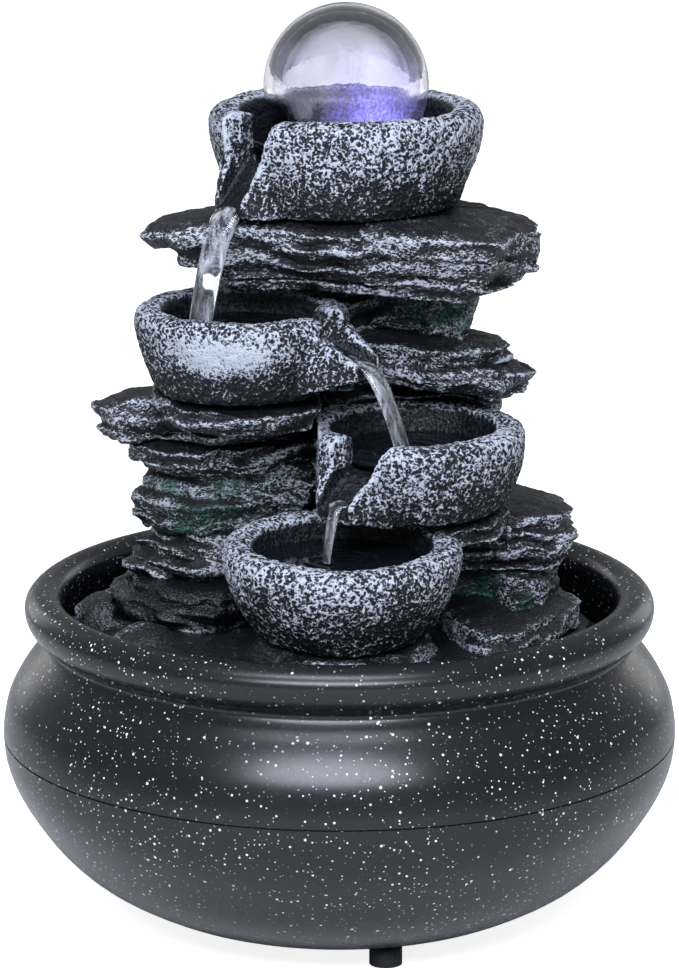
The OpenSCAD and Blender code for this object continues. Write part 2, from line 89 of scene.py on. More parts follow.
def noise(p, seed=0):
    """Smooth noise from 0 to 1 at the points p."""
    base = np.floor(p).astype(np.int64)
    f = p - base
    f = f * f * f * (f * (f * 6 - 15) + 10)
    total = np.zeros(len(p))
    for dx in (0, 1):
        for dy in (0, 1):
            for dz in (0, 1):
                weight = np.abs(1 - dx - f[:, 0]) * np.abs(1 - dy - f[:, 1]) * np.abs(1 - dz - f[:, 2])
                total += weight * lattice(base[:, 0] + dx, base[:, 1] + dy, base[:, 2] + dz, seed)
    return total


def fbm(p, octaves=3, seed=0):
    """Layered noise from 0 to 1."""
    total, size, weight = 0, 1.0, 0
    for octave in range(octaves):
        total = total + size * noise(p * 2.03 ** octave, seed + octave)
        weight += size
        size *= 0.5
    return total / weight


def nearest_centre(p, seed=0):
    """Distance from each point to the nearest of the scattered centres."""
    base = np.floor(p).astype(np.int64)
    nearest = np.full(len(p), 9.0)
    for dx in (-1, 0, 1):
        for dy in (-1, 0, 1):
            for dz in (-1, 0, 1):
                i, j, k = base[:, 0] + dx, base[:, 1] + dy, base[:, 2] + dz
                centre = np.stack([i + lattice(i, j, k, seed), j + lattice(i, j, k, seed + 1),
                                   k + lattice(i, j, k, seed + 2)], 1)
                nearest = np.minimum(nearest, np.linalg.norm(p - centre, axis=1))
    return nearest


# ---------------------------------------------------------------- meshes

def new_object(name, mesh):
    obj = bpy.data.objects.new(name, mesh)
    bpy.context.scene.collection.objects.link(obj)
    return obj


def cad_copy(node, name):
    """A new object of a CAD node's shape, with the corners that the frame splits joined again."""
    bm = bmesh.new()
    bm.from_mesh(frame["nodes"][node].data)
    bmesh.ops.remove_doubles(bm, verts=bm.verts, dist=2e-6)
    mesh = bpy.data.meshes.new(name)
    bm.to_mesh(mesh)
    bm.free()
    return new_object(name, mesh)


def voxel_remesh(obj, voxel):
    change = obj.modifiers.new("remesh", "REMESH")
    change.mode = "VOXEL"
    change.voxel_size = voxel * MM
    evaluated = obj.evaluated_get(bpy.context.evaluated_depsgraph_get())
    mesh = bpy.data.meshes.new_from_object(evaluated)
    obj.modifiers.clear()
    old = obj.data
    obj.data = mesh
    bpy.data.meshes.remove(old)


class Skin:
    """A mesh as arrays: points in millimetres, their normals, and who neighbours whom."""

    def __init__(self, obj):
        self.obj = obj
        mesh = obj.data
        count = len(mesh.vertices)
        flat = np.zeros(count * 3, np.float32)
        mesh.vertices.foreach_get("co", flat)
        self.co = flat.reshape(-1, 3).astype(float) / MM
        pairs = np.zeros(len(mesh.edges) * 2, np.int32)
        mesh.edges.foreach_get("vertices", pairs)
        self.a, self.b = pairs.reshape(-1, 2).T
        self.degree = np.maximum(np.bincount(pairs, minlength=count), 1)
        self.read_normals()

    def read_normals(self):
        flat = np.zeros(len(self.co) * 3, np.float32)
        self.obj.data.vertex_normals.foreach_get("vector", flat)
        self.n = flat.reshape(-1, 3).astype(float)

    def mean(self, values):
        """The mean of each point's neighbours."""
        if values.ndim > 1:
            return np.stack([self.mean(column) for column in values.T], 1)
        total = np.bincount(self.a, values[self.b], len(values))
        total += np.bincount(self.b, values[self.a], len(values))
        return total / self.degree

    def smooth(self, rounds, share=0.5):
        for _ in range(rounds):
            self.co += share * (self.mean(self.co) - self.co)
        self.write()

    def write(self):
        self.obj.data.vertices.foreach_set("co", (self.co * MM).astype(np.float32).ravel())
        self.obj.data.update()
        self.read_normals()

    def relief(self, rounds):
        """How far each point stands out of its smoothed surroundings, in millimetres."""
        calm = self.co
        for _ in range(rounds):
            calm = self.mean(calm)
        out = np.einsum("ij,ij->i", self.co - calm, self.n)
        return 0.5 * out + 0.5 * self.mean(out)

    def store(self, name, values):
        layer = self.obj.data.attributes.new(name, "FLOAT", "POINT")
        layer.data.foreach_set("value", np.asarray(values, np.float32))


def shade(obj, material):
    """Gives a piece its material and soft shading."""
    obj.data.materials.clear()
    obj.data.materials.append(material)
    obj.data.polygons.foreach_set("use_smooth", [True] * len(obj.data.polygons))
    obj.data.update()


# ---------------------------------------------------------------- materials

class Nodes:
    """Short calls for building a material's node tree."""

    def __init__(self, name):
        self.material = bpy.data.materials.new(name)
        self.material.use_nodes = True
        self.tree = self.material.node_tree
        self.shader = self.tree.nodes["Principled BSDF"]
        self.output = self.tree.nodes["Material Output"]
        self.place = self.add("ShaderNodeTexCoord").outputs["Object"]

    def add(self, kind, **settings):
        node = self.tree.nodes.new(kind)
        for key, value in settings.items():
            setattr(node, key, value)
        return node

    def link(self, source, socket):
        self.tree.links.new(source, socket)

    def put(self, socket, value):
        if hasattr(value, "is_output"):
            self.link(value, socket)
        else:
            socket.default_value = value

    def math(self, operation, a, b=0.0, c=0.0, clamp=False):
        """The result of a sum on numbers or sockets; MULTIPLY_ADD is a * b + c."""
        node = self.add("ShaderNodeMath", operation=operation, use_clamp=clamp)
        for socket, value in zip(node.inputs, (a, b, c)):
            self.put(socket, value)
        return node.outputs[0]

    def vector(self, operation, a, b=(0, 0, 0)):
        """The result of a sum on a vector socket and a constant vector."""
        node = self.add("ShaderNodeVectorMath", operation=operation)
        self.link(a, node.inputs[0])
        node.inputs[1].default_value = b
        return node.outputs["Value" if operation == "LENGTH" else "Vector"]

    def noise(self, scale, detail=3.0, roughness=0.5, stretch=None, distortion=0.0):
        node = self.add("ShaderNodeTexNoise")
        where = self.vector("MULTIPLY", self.place, stretch) if stretch else self.place
        self.link(where, node.inputs["Vector"])
        node.inputs["Scale"].default_value = scale
        node.inputs["Detail"].default_value = detail
        node.inputs["Roughness"].default_value = roughness
        node.inputs["Distortion"].default_value = distortion
        return node.outputs["Fac"]

    def pits(self, size, stretch):
        """Small pits set close together: 0 in their middles, 1 on the veins between them."""
        warp = self.add("ShaderNodeTexNoise")
        self.link(self.place, warp.inputs["Vector"])
        warp.inputs["Scale"].default_value = 450 / size
        warp.inputs["Detail"].default_value = 2
        moved = self.add("ShaderNodeVectorMath", operation="MULTIPLY_ADD")
        self.link(warp.outputs["Color"], moved.inputs[0])
        moved.inputs[1].default_value = (1.5 * size * MM,) * 3
        self.link(self.vector("MULTIPLY", self.place, stretch), moved.inputs[2])
        walls = []
        for cell, weight in ((size, 0.6), (0.62 * size, 0.4)):
            texture = self.add("ShaderNodeTexVoronoi")
            self.link(moved.outputs[0], texture.inputs["Vector"])
            texture.inputs["Scale"].default_value = 1000 / cell
            wall = self.ramp(texture.outputs["Distance"], [(0.32, 0.0), (0.62, 1.0)])
            walls.append(self.math("MULTIPLY", wall, weight))
        return self.math("ADD", *walls)

    def attribute(self, name):
        return self.add("ShaderNodeAttribute", attribute_name=name).outputs["Fac"]

    def ramp(self, factor, stops):
        """stops are (place, value) or (place, colour)."""
        node = self.add("ShaderNodeValToRGB")
        elements = node.color_ramp.elements
        while len(elements) < len(stops):
            elements.new(0.5)
        for element, (place, value) in zip(elements, stops):
            element.position = place
            element.color = (*value, 1) if hasattr(value, "__len__") else (value, value, value, 1)
        self.put(node.inputs["Fac"], factor)
        return node.outputs["Color"]

    def mix(self, factor, a, b):
        """Colour a or b, by a factor from 0 to 1."""
        node = self.add("ShaderNodeMix", data_type="RGBA")
        self.put(node.inputs["Factor"], factor)
        for socket, value in ((node.inputs["A"], a), (node.inputs["B"], b)):
            self.put(socket, (*value, 1) if isinstance(value, tuple) and len(value) == 3 else value)
        return node.outputs["Result"]

    def bump(self, height, distance, strength=1.0):
        """Raises the surface by a height from 0 to 1, up to a distance in millimetres."""
        node = self.add("ShaderNodeBump")
        self.put(node.inputs["Height"], height)
        node.inputs["Distance"].default_value = distance * MM
        node.inputs["Strength"].default_value = strength
        self.link(node.outputs["Normal"], self.shader.inputs["Normal"])

    def set(self, **inputs):
        """Sets the shader's sockets; an underscore stands for a space in a socket's name."""
        for name, value in inputs.items():
            socket = self.shader.inputs[name.replace("_", " ")]
            self.put(socket, (*value, 1) if isinstance(value, tuple) and len(value) == 3 else value)
        return self.material


def specks(nodes, cell, share, radius, shift):
    """Round paint specks: a share of the cells (sizes in millimetres) holds one, each of its own size."""
    texture = nodes.add("ShaderNodeTexVoronoi")
    texture.inputs["Scale"].default_value = 1000 / cell
    nodes.link(nodes.vector("ADD", nodes.place, (shift, 0.7 * shift, -shift)), texture.inputs["Vector"])
    parts = nodes.add("ShaderNodeSeparateColor")
    nodes.link(texture.outputs["Color"], parts.inputs[0])
    size = nodes.math("MULTIPLY_ADD", nodes.math("POWER", parts.outputs["Red"], 1.6), 0.75, 0.25)
    size = nodes.math("MULTIPLY", size, radius / cell)
    chosen = nodes.math("LESS_THAN", parts.outputs["Green"], share)
    inside = nodes.math("SUBTRACT", nodes.math("MULTIPLY", size, chosen), texture.outputs["Distance"])
    return nodes.math("MULTIPLY", inside, 14.0, clamp=True)


def basin_plastic():
    """Dark satin plastic with pale specks of three sizes, crowded in places."""
    nodes = Nodes("speckled_charcoal_plastic")
    crowd = nodes.noise(24, 2)
    few = specks(nodes, 4.2, 0.95, 0.62, 3.1)
    some = specks(nodes, 2.1, 1.0, 0.50, 7.7)
    many = specks(nodes, 1.4, 1.0, 0.36, 11.3)
    many = nodes.math("MULTIPLY", many, nodes.ramp(crowd, [(0.38, 0.1), (0.6, 1.0)]))
    some = nodes.math("MULTIPLY", some, nodes.ramp(crowd, [(0.36, 0.3), (0.52, 1.0)]))
    paint = nodes.math("MAXIMUM", few, nodes.math("MAXIMUM", some, nodes.math("MULTIPLY", many, 0.8)))
    charcoal, lighter = (0.0042, 0.0044, 0.0054), (0.0062, 0.0066, 0.0084)
    tone = nodes.ramp(nodes.noise(45, 4), [(0.3, charcoal), (0.7, lighter)])
    grain = nodes.noise(2600, 2)
    nodes.bump(nodes.math("MULTIPLY_ADD", grain, 0.3, paint), 0.03, 0.3)
    rough = nodes.math("MULTIPLY_ADD", nodes.noise(700, 3), 0.10, 0.24)
    colour = nodes.mix(paint, tone, (0.62, 0.63, 0.64))
    return nodes.set(Base_Color=colour, Roughness=rough, Specular_IOR_Level=0.36)


def painted_stone(name, dark, middle, light, stops, network, crackle, scratches, roughness, specular,
                  stretch=(1, 1, 1)):
    """Dark cast stone, dry-brushed where it stands out, and wet where water runs.

    stops are the values of "stand" at which the dark, the middle and the light tone are reached;
    network is the size of the pits that the brush leaves dark, crackle that of the finest scratches.
    """
    nodes = Nodes(name)
    fine = nodes.noise(1000 / crackle, 2, 0.6, stretch=stretch, distortion=0.6)
    off_middle = nodes.math("ABSOLUTE", nodes.math("MULTIPLY_ADD", fine, 6.0, -3.0))
    vein = nodes.math("SUBTRACT", 1.0, off_middle, clamp=True)
    patch = nodes.math("SUBTRACT", nodes.noise(110, 3), 0.5)
    pits = nodes.pits(network, stretch)
    stand = nodes.math("MULTIPLY_ADD", patch, 0.5, nodes.attribute("ridge"))
    # The paint attribute holds real tone, and also painted shade under the slates and low on the bowls, and a
    # painted pool of light on the left bowl.
    stand = nodes.math("ADD", stand, nodes.attribute("paint"))
    stand = nodes.math("MULTIPLY_ADD", nodes.math("SUBTRACT", pits, 0.5), nodes.attribute("pitted"), stand)
    stand = nodes.math("MULTIPLY_ADD", nodes.math("SUBTRACT", vein, 0.5), scratches, stand)
    height = nodes.math("MULTIPLY_ADD", vein, 0.3, pits)
    colour = nodes.ramp(stand, list(zip(stops, (dark, middle, light))))
    growth = nodes.ramp(nodes.noise(240, 4), [(0.35, 0.15), (0.6, 1.0)])
    moss = nodes.math("MULTIPLY", nodes.attribute("moss"), growth)
    shine = nodes.math("MULTIPLY", stand, 0.8, clamp=True)
    green = nodes.mix(shine, (0.003, 0.010, 0.008), (0.012, 0.075, 0.050))
    colour = nodes.mix(moss, colour, green)
    wet = nodes.attribute("wet")
    colour = nodes.mix(nodes.math("MULTIPLY", wet, 0.95), colour, (0.0035, 0.0042, 0.0058))
    rough = nodes.math("MULTIPLY_ADD", wet, 0.28 - roughness, roughness)
    rough = nodes.math("MULTIPLY_ADD", nodes.math("SUBTRACT", fine, 0.5), 0.2, rough, clamp=True)
    nodes.bump(height, 0.3, 0.75)
    return nodes.set(Base_Color=colour, Roughness=rough, Specular_IOR_Level=specular)


def plain(name, colour, roughness, grain=900, bump=0.02, metallic=0.0):
    """A moulded or machined surface with slight unevenness in colour, gloss and grain."""
    nodes = Nodes(name)
    soft = nodes.noise(grain * 0.12, 3)
    tone = nodes.mix(nodes.math("MULTIPLY", soft, 0.5), colour, tuple(c * 0.6 for c in colour))
    rough = nodes.math("ADD", nodes.math("MULTIPLY", nodes.noise(grain, 2), 0.16), roughness - 0.08)
    nodes.bump(nodes.noise(grain * 2.5, 2), bump, 0.5)
    return nodes.set(Base_Color=tone, Roughness=rough, Metallic=metallic)


def clear(name, tint, roughness, ior, bump_scale=60, bump=0.02):
    """A glass, clear plastic or water that is slightly uneven."""
    nodes = Nodes(name)
    nodes.bump(nodes.noise(bump_scale, 2), bump, 0.4)
    rough = nodes.math("MULTIPLY", nodes.noise(bump_scale * 3, 2), roughness)
    return nodes.set(Base_Color=tint, Roughness=rough, Transmission_Weight=1.0, IOR=ior)


# ---------------------------------------------------------------- pieces

def adopt(node, material):
    """Shows a CAD node's own shape, softly shaded between its sharp edges."""
    obj = cad_copy(node, node + "_look")
    shade(obj, material)
    obj.data.set_sharp_from_angle(angle=math.radians(35))
    settle(obj, node)


def settle(obj, node):
    """Puts a piece in its CAD node's place: on the same body, with the node hidden."""
    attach(obj, frame["nodes"][node]["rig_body"])
    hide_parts(node)


def inside_of_bowl(bowl, skin):
    """Where the smooth, wet inside of a bowl and its channel is, and where its spout is, each from 0 to 1."""
    away = skin.co[:, :2] - np.array(bowl["at"])
    radius = np.linalg.norm(away, axis=1)
    outward = away / np.maximum(radius, 1e-6)[:, None]
    facing = np.einsum("ij,ij->i", skin.n[:, :2], outward)
    below = bowl["rim"] - skin.co[:, 2]
    hollow = smoothstep(0.1, -0.4, facing) * smoothstep(0.5, 1.8, below) * (radius < bowl["inner"] + 2.5)
    hollow = np.maximum(hollow, (radius < bowl["inner"] - 2) * (below > 3) * (skin.n[:, 2] > 0.3))
    if bowl["heading"] is None:
        return hollow, np.zeros(len(radius))
    turn = math.radians(bowl["heading"])
    ahead = away @ np.array([math.cos(turn), math.sin(turn)])
    beside = np.abs(away @ np.array([-math.sin(turn), math.cos(turn)]))
    channel = (ahead > 0) * (beside < bowl["half"] + 0.5) * smoothstep(1, 3, below) * (skin.n[:, 2] > -0.3)
    return np.maximum(hollow, channel), (ahead > bowl["inner"] - 4) * smoothstep(16, 9, beside)


def bowl_piece(node, material, seed, voxel=0.52, cell=1.9, pale=None):
    """A cast bowl: hammered and pitted outside, smooth and wet inside, with painted shade towards its foot.

    cell is the size of the hammer marks; pale is the middle and radius of a smoother patch, painted lighter
    as a pool of light.
    """
    bowl = BOWLS[node]
    obj = cad_copy(node, node + "_cast")
    voxel_remesh(obj, voxel)
    skin = Skin(obj)
    skin.smooth(5)
    p = skin.co.copy()
    hollow, spout = inside_of_bowl(bowl, skin)
    rough = 1 - hollow
    level = (p[:, 2] - bowl["foot"]) / (bowl["rim"] - bowl["foot"])
    bent = p + 0.9 * np.stack([fbm(p / 3.2, 2, seed + k) - 0.5 for k in (31, 41, 51)], 1)
    bent[:, 2] = bent[:, 2] / (1 + 1.2 * spout)
    near = nearest_centre(bent / cell, seed)
    zone = fbm(p / 8, 2, seed + 70)
    wide_zone = fbm(p / 20, 2, seed + 75)
    lumps = fbm(p / 12, 3, seed + 5) - 0.5
    relief = smoothstep(0.12, 0.8, near)
    calm = np.zeros(len(p))
    # Painted light: the pale patch is smoother and less pitted, and painted lighter as a pool of light.
    if pale:
        middle, size = np.array(pale)
        calm = smoothstep(1.15, 0.3, np.linalg.norm((p - middle) / size, axis=1))
    relief = relief + (0.75 - relief) * calm * 0.8
    edge = smoothstep(0.10, 0.55, skin.relief(14))
    skin.co += skin.n * ((relief - 0.6) * 0.5 * rough + lumps * (1.6 * rough + 0.2))[:, None]
    skin.write()
    broad = np.clip(skin.relief(8) / 0.5, -1, 1)
    skin.store("ridge", 0.12 + 0.30 * relief + 0.22 * broad * rough + 0.34 * edge * rough)
    patches = 0.30 * (zone - 0.5) + 0.35 * (wide_zone - 0.5)
    # Painted shade: each bowl is painted darker towards its foot.
    painted_shade_below = 0.42 * (smoothstep(-0.05, 0.8, level) - 1)
    skin.store("paint", 0.06 + patches + 0.42 * calm + painted_shade_below)
    skin.store("pitted", 0.92 - 0.55 * calm - 0.25 * edge)
    skin.store("wet", hollow)
    skin.store("moss", np.zeros(len(p)))
    shade(obj, material)
    settle(obj, node)


def reach_by_angle(co, centre, bins=72):
    """Each point's distance from the middle as a share of the outline's there, and its direction."""
    away = co[:, :2] - centre
    angle = np.arctan2(away[:, 1], away[:, 0])
    radius = np.linalg.norm(away, axis=1)
    index = ((angle + math.pi) / (2 * math.pi) * bins).astype(int) % bins
    edge = np.zeros(bins)
    np.maximum.at(edge, index, radius)
    edge = np.array([max(edge[(i + s) % bins] for s in (-1, 0, 1)) for i in range(bins)])
    return radius / np.maximum(edge[index], 1e-6), away / np.maximum(radius, 1e-6)[:, None]


def crest(p, octaves, seed):
    """Layered noise with sharp crests, from 0 to 1."""
    total, size, weight = 0, 1.0, 0
    for octave in range(octaves):
        total = total + size * (1 - np.abs(2 * noise(p * 2.1 ** octave, seed + octave) - 1))
        weight += size
        size *= 0.55
    return total / weight


def slate_piece(node, material, seed, droop=2.5, taper=4.0, wedge=0.0, ledge=2.0, bed=8.5, voxel=0.65,
                moss=0.0, wet=0.0, paint=0.0):
    """A broken slate: plates with torn lips over hollowed undersides, drooping towards the tips.

    droop, taper and wedge say how far the tips hang, the foot draws in and its left side more so;
    ledge is how far the plates stand out and bed how thick they are, in millimetres. moss and wet say
    how much of it is green or wet, and paint how much lighter it is.
    """
    obj = cad_copy(node, node + "_rock")
    voxel_remesh(obj, voxel)
    skin = Skin(obj)
    skin.smooth(12)
    p = skin.co.copy()
    low, high = p.min(0), p.max(0)
    centre = (low[:2] + high[:2]) / 2
    share, outward = reach_by_angle(p, centre)
    side = 1 - smoothstep(0.55, 0.95, np.abs(skin.n[:, 2]))
    level = (p[:, 2] - low[2]) / (high[2] - low[2])
    slow = np.stack([p[:, 0] / 30, p[:, 1] / 30, 0 * p[:, 2]], 1)
    height = (p[:, 2] + 14 * fbm(slow, 2, seed) + 4.5 * fbm(p / 10, 2, seed + 20)) / bed
    layer = np.floor(height)
    step = height - layer
    lip = smoothstep(0.0, 0.7, step) * smoothstep(1.0, 0.86, step)
    plan = np.stack([p[:, 0], p[:, 1], 40 * layer], 1)
    reach = 1.1 * noise(plan / [17, 17, 13], seed + 1) + 0.5 * noise(plan / [5, 5, 13], seed + 2)
    strong = 0.25 + 0.9 * smoothstep(0.35, 0.6, fbm(p / [20, 20, 8], 2, seed + 21))
    push = ledge * strong * ((lip - 0.45) * (0.5 + reach))
    fold = crest(np.stack([p[:, 0] / 26, p[:, 1] / 26, p[:, 2] / 11.0], 1), 3, seed + 4) - 0.55
    torn = crest(np.stack([p[:, 0] / 7, p[:, 1] / 7, p[:, 2] / 3.5], 1), 3, seed + 11) - 0.55
    where = smoothstep(0.35, 0.65, fbm(p / [16, 16, 9], 2, seed + 5))
    push = push + 2.8 * fold + (0.6 + 1.8 * where) * torn
    contour = fbm(np.stack([p[:, 0] / 20, p[:, 1] / 20, 0 * p[:, 2]], 1), 3, seed + 6) * 5
    terrace = (np.floor(contour) + smoothstep(0.3, 0.7, contour - np.floor(contour))) / 5
    grain = fbm(p / 1.4, 3, seed + 8) - 0.5
    skin.co[:, :2] += outward * (push * side)[:, None]
    drawn = taper + wedge * smoothstep(0.2, 0.9, -outward[:, 0])
    skin.co[:, :2] -= outward * (drawn * (1 - level) ** 1.2 * share ** 3)[:, None]
    flat = np.sign(skin.n[:, 2]) * (1 - side)
    skin.co[:, 2] += flat * ((terrace - 0.55) * 2.4)
    skin.co += skin.n * (grain * 0.5)[:, None]
    skin.co[:, 2] -= droop * share ** 5
    skin.write()
    small = np.clip(skin.relief(3) / 0.22, -1, 1)
    broad = np.clip(skin.relief(12) / 0.7, -1, 1)
    upward = smoothstep(0.35, 0.8, skin.n[:, 2])
    # Painted shade: faces that look down, the undersides of the plates, are painted darker.
    under = smoothstep(-0.1, -0.7, skin.n[:, 2])
    skin.store("ridge", 0.47 + 0.17 * small + 0.12 * broad)
    skin.store("paint", paint - 0.34 * upward - 0.45 * under + 0.55 * (fbm(p / 9, 2, seed + 10) - 0.5))
    skin.store("pitted", 0.95 * (1 - 0.55 * upward))
    skin.store("wet", np.clip(wet * smoothstep(0.42, 0.56, fbm(p / 15, 2, seed + 12)), 0, 1))
    skin.store("moss", moss * smoothstep(0.38, 0.60, fbm(p / 12, 2, seed + 14)) * (0.4 + 0.6 * side))
    shade(obj, material)
    settle(obj, node)


def ring_mesh(name, rings):
    """A closed tube through rings of points, given as arrays in millimetres."""
    bm = bmesh.new()
    loops = [[bm.verts.new(Vector(q) * MM) for q in ring] for ring in rings]
    count = len(loops[0])
    for lower, upper in zip(loops, loops[1:]):
        for k in range(count):
            bm.faces.new((lower[k], lower[(k + 1) % count], upper[(k + 1) % count], upper[k]))
    bm.faces.new(loops[0][::-1])
    bm.faces.new(loops[-1])
    bmesh.ops.recalc_face_normals(bm, faces=bm.faces)
    mesh = bpy.data.meshes.new(name)
    bm.to_mesh(mesh)
    bm.free()
    return new_object(name, mesh)


def pour(name, rings, material):
    """A piece of water in rings, which rides on the tower."""
    obj = ring_mesh(name, rings)
    shade(obj, material)
    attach(obj, "tower")


def pool(name, node, material, radius, depth=1.5):
    """Still water in a bowl: a thin lens that meets the bowl's wall."""
    bowl = BOWLS[node]
    rings = []
    angle = np.linspace(0, 2 * math.pi, 72, endpoint=False)
    for r in np.linspace(0.01, 1.0, 20) * radius:
        x = bowl["at"][0] + r * np.cos(angle)
        y = bowl["at"][1] + r * np.sin(angle)
        ripple = 0.12 * np.sin(r * 1.3) + 0.25 * (noise(np.stack([x / 5, y / 5, 0 * x + 3], 1), 5) - 0.5)
        rings.append(np.stack([x, y, bowl["water"] + ripple], 1))
    inner, outer = rings[0].copy(), rings[-1].copy()
    for ring in (inner, outer):
        ring[:, 2] = bowl["water"] - depth
    pour(name, [inner] + rings + [outer], material)


def keep_lamps_off(obj):
    """The lamps light everything but this piece, which so shows no reflections of them."""
    for lamp in [o for o in bpy.context.scene.objects if o.type == "LIGHT"]:
        group = bpy.data.collections.new(lamp.name + "_spares")
        group.objects.link(obj)
        lamp.light_linking.receiver_collection = group
        group.collection_objects[0].light_linking.link_state = "EXCLUDE"


def add_inner_shells(obj, middle):
    """Puts surfaces inside a solid ball, so that it becomes a thin shell, a gap and an inner hollow ball."""
    bm = bmesh.new()
    bm.from_mesh(obj.data)
    # A face that looks in has glass outside it
    for radius, faces_in in ((22.4, True), (22.2, False), (19.6, True)):
        shell = bmesh.ops.create_icosphere(bm, subdivisions=5, radius=radius * MM)["verts"]
        bmesh.ops.translate(bm, verts=shell, vec=middle)
        if faces_in:
            bmesh.ops.reverse_faces(bm, faces=list({f for v in shell for f in v.link_faces}))
    bm.to_mesh(obj.data)
    bm.free()


def glass_with_painted_glow(middle):
    """Slightly uneven smoky glass, with the violet light from below painted in as a glow glittering low in
    it, and a pale haze painted in as a faint glow above.
    """
    nodes = Nodes("crystal_glass")
    nodes.bump(nodes.noise(60, 4, 0.6), 0.5, 0.3)
    # Painted light: the ball's own emission paints in the violet light low in it and the pale haze above.
    glow_at = middle + Vector((0.0080, -0.004, -0.012))
    away = nodes.vector("SUBTRACT", nodes.place, glow_at)
    distance = nodes.vector("LENGTH", nodes.vector("MULTIPLY", away, (1.5, 0.45, 1.0)))
    reach = nodes.math("MULTIPLY", distance, 1 / 0.03)
    close = nodes.ramp(reach, [(0.15, 1.0), (0.5, 0.25), (0.95, 0.0)])
    glitter = nodes.ramp(nodes.noise(900, 2, 0.7), [(0.5, 0.12), (0.62, 1.0)])
    violet = nodes.math("MULTIPLY", close, glitter)
    parts = nodes.add("ShaderNodeSeparateXYZ")
    nodes.link(away, parts.inputs[0])
    # Painted light: a faint pale glow painted into the upper half.
    above = nodes.math("MULTIPLY", parts.outputs["Z"], 25.0)
    upper = nodes.ramp(above, [(0.2, 0.0), (0.4, 1.0), (0.75, 0.0)])
    clouds = nodes.ramp(nodes.noise(75, 4, 0.6), [(0.42, 0.0), (0.7, 1.0)])
    haze = nodes.math("MULTIPLY", nodes.math("MULTIPLY", upper, clouds), 0.12)
    glow = nodes.math("MULTIPLY_ADD", violet, 1.1, haze)
    share = nodes.math("MULTIPLY", violet, 8.0, clamp=True)
    tone = nodes.mix(share, (0.75, 0.72, 1.0), (0.26, 0.23, 1.0))
    smoke = nodes.add("ShaderNodeVolumeAbsorption")
    smoke.inputs["Color"].default_value = (0.45, 0.47, 0.59, 1)
    smoke.inputs["Density"].default_value = 75
    nodes.link(smoke.outputs[0], nodes.output.inputs["Volume"])
    return nodes.set(Base_Color=(1.0, 1.0, 1.0), Roughness=0.01, Transmission_Weight=1.0, IOR=1.5,
                     Emission_Color=tone, Emission_Strength=glow)


def crystal_ball():
    """A glass ball of two shells around a hollow, with the light below it painted in as a glow glittering in
    its lower half.
    """
    obj = cad_copy("crystal_ball", "crystal_ball_glass")
    middle = sum((v.co for v in obj.data.vertices), Vector()) / len(obj.data.vertices)
    add_inner_shells(obj, middle)
    shade(obj, glass_with_painted_glow(middle))
    keep_lamps_off(obj)
    settle(obj, "crystal_ball")


def stream(name, node, reach, end_height, widths, material, thickness, swing=0.0):
    """Water that leaves the tip of a spout and falls in an arc, getting narrower.

    reach is how far past the tip it lands, end_height where, and widths are its widths at the top and
    the bottom; swing turns the falling sheet towards the front, so that it shows its broad side.
    """
    bowl = BOWLS[node]
    turn = math.radians(bowl["heading"])
    forward = np.array([math.cos(turn), math.sin(turn), 0])
    across = np.array([-forward[1], forward[0], 0])
    middle = np.array([*bowl["at"], 0.0])
    steps, sides = 64, 24
    drop = bowl["tip"] - end_height
    share = np.linspace(0, 1, steps + 1)
    # The first ring lies back in the channel and the others from the tip outwards
    along = np.concatenate([[bowl["reach"] - 7], bowl["reach"] - 2 + (reach + 2) * share[1:]])
    height = bowl["tip"] + 0.8 - drop * (0.1 * share + 0.9 * share ** 2)
    height[0] += 1.2
    rings = []
    for i, s in enumerate(share):
        slope = np.array([along[min(i + 1, steps)] - along[max(i - 1, 0)],
                          height[min(i + 1, steps)] - height[max(i - 1, 0)]])
        slope = slope / max(np.hypot(*slope), 1e-6)
        lift = -slope[1] * forward + np.array([0, 0, slope[0]])
        broad = across + swing * smoothstep(0, 0.3, s) * np.array([math.copysign(1, across[0]), 0, 0])
        broad = broad / np.linalg.norm(broad)
        width = np.interp(s, [0, 0.15, 1], [2 * bowl["half"] - 3.0, widths[0], widths[1]])
        depth = np.interp(s, [0, 0.3], [1.2, thickness])
        ring = []
        for k in range(sides):
            a = 2 * math.pi * k / sides
            wave = 1 + s * (0.16 * math.sin(3 * a + 5 * s) + 0.08 * math.sin(5 * a - 8 * s))
            ring.append(middle + forward * along[i] + np.array([0, 0, height[i]])
                        + broad * (0.5 * width * math.cos(a)) + lift * (0.5 * depth * wave * math.sin(a)))
        rings.append(np.array(ring))
    pour(name, rings, material)


# ---------------------------------------------------------------- stage

def aim(obj, place, target):
    """Puts a camera or lamp at a place and turns it towards a target, in metres."""
    bpy.context.scene.collection.objects.link(obj)
    obj.location = place
    obj.rotation_euler = (Vector(target) - obj.location).to_track_quat("-Z", "Y").to_euler()


def camera():
    """A long lens in front of the fountain that looks a little down on it."""
    data = bpy.data.cameras.new("view")
    data.lens = 161.6
    data.sensor_width = 36
    data.clip_start = 0.05
    obj = bpy.data.objects.new("view", data)
    aim(obj, (0, -1.293, 0.4538), (0, 0, 0.1362))
    bpy.context.scene.camera = obj


def soft_light(name, place, target, size, power, colour=(1, 1, 1)):
    """A round or oval lamp; size is its width and height in metres."""
    data = bpy.data.lights.new(name, "AREA")
    data.shape = "ELLIPSE"
    data.size, data.size_y = size
    data.energy = power
    data.color = colour
    aim(bpy.data.objects.new(name, data), place, target)


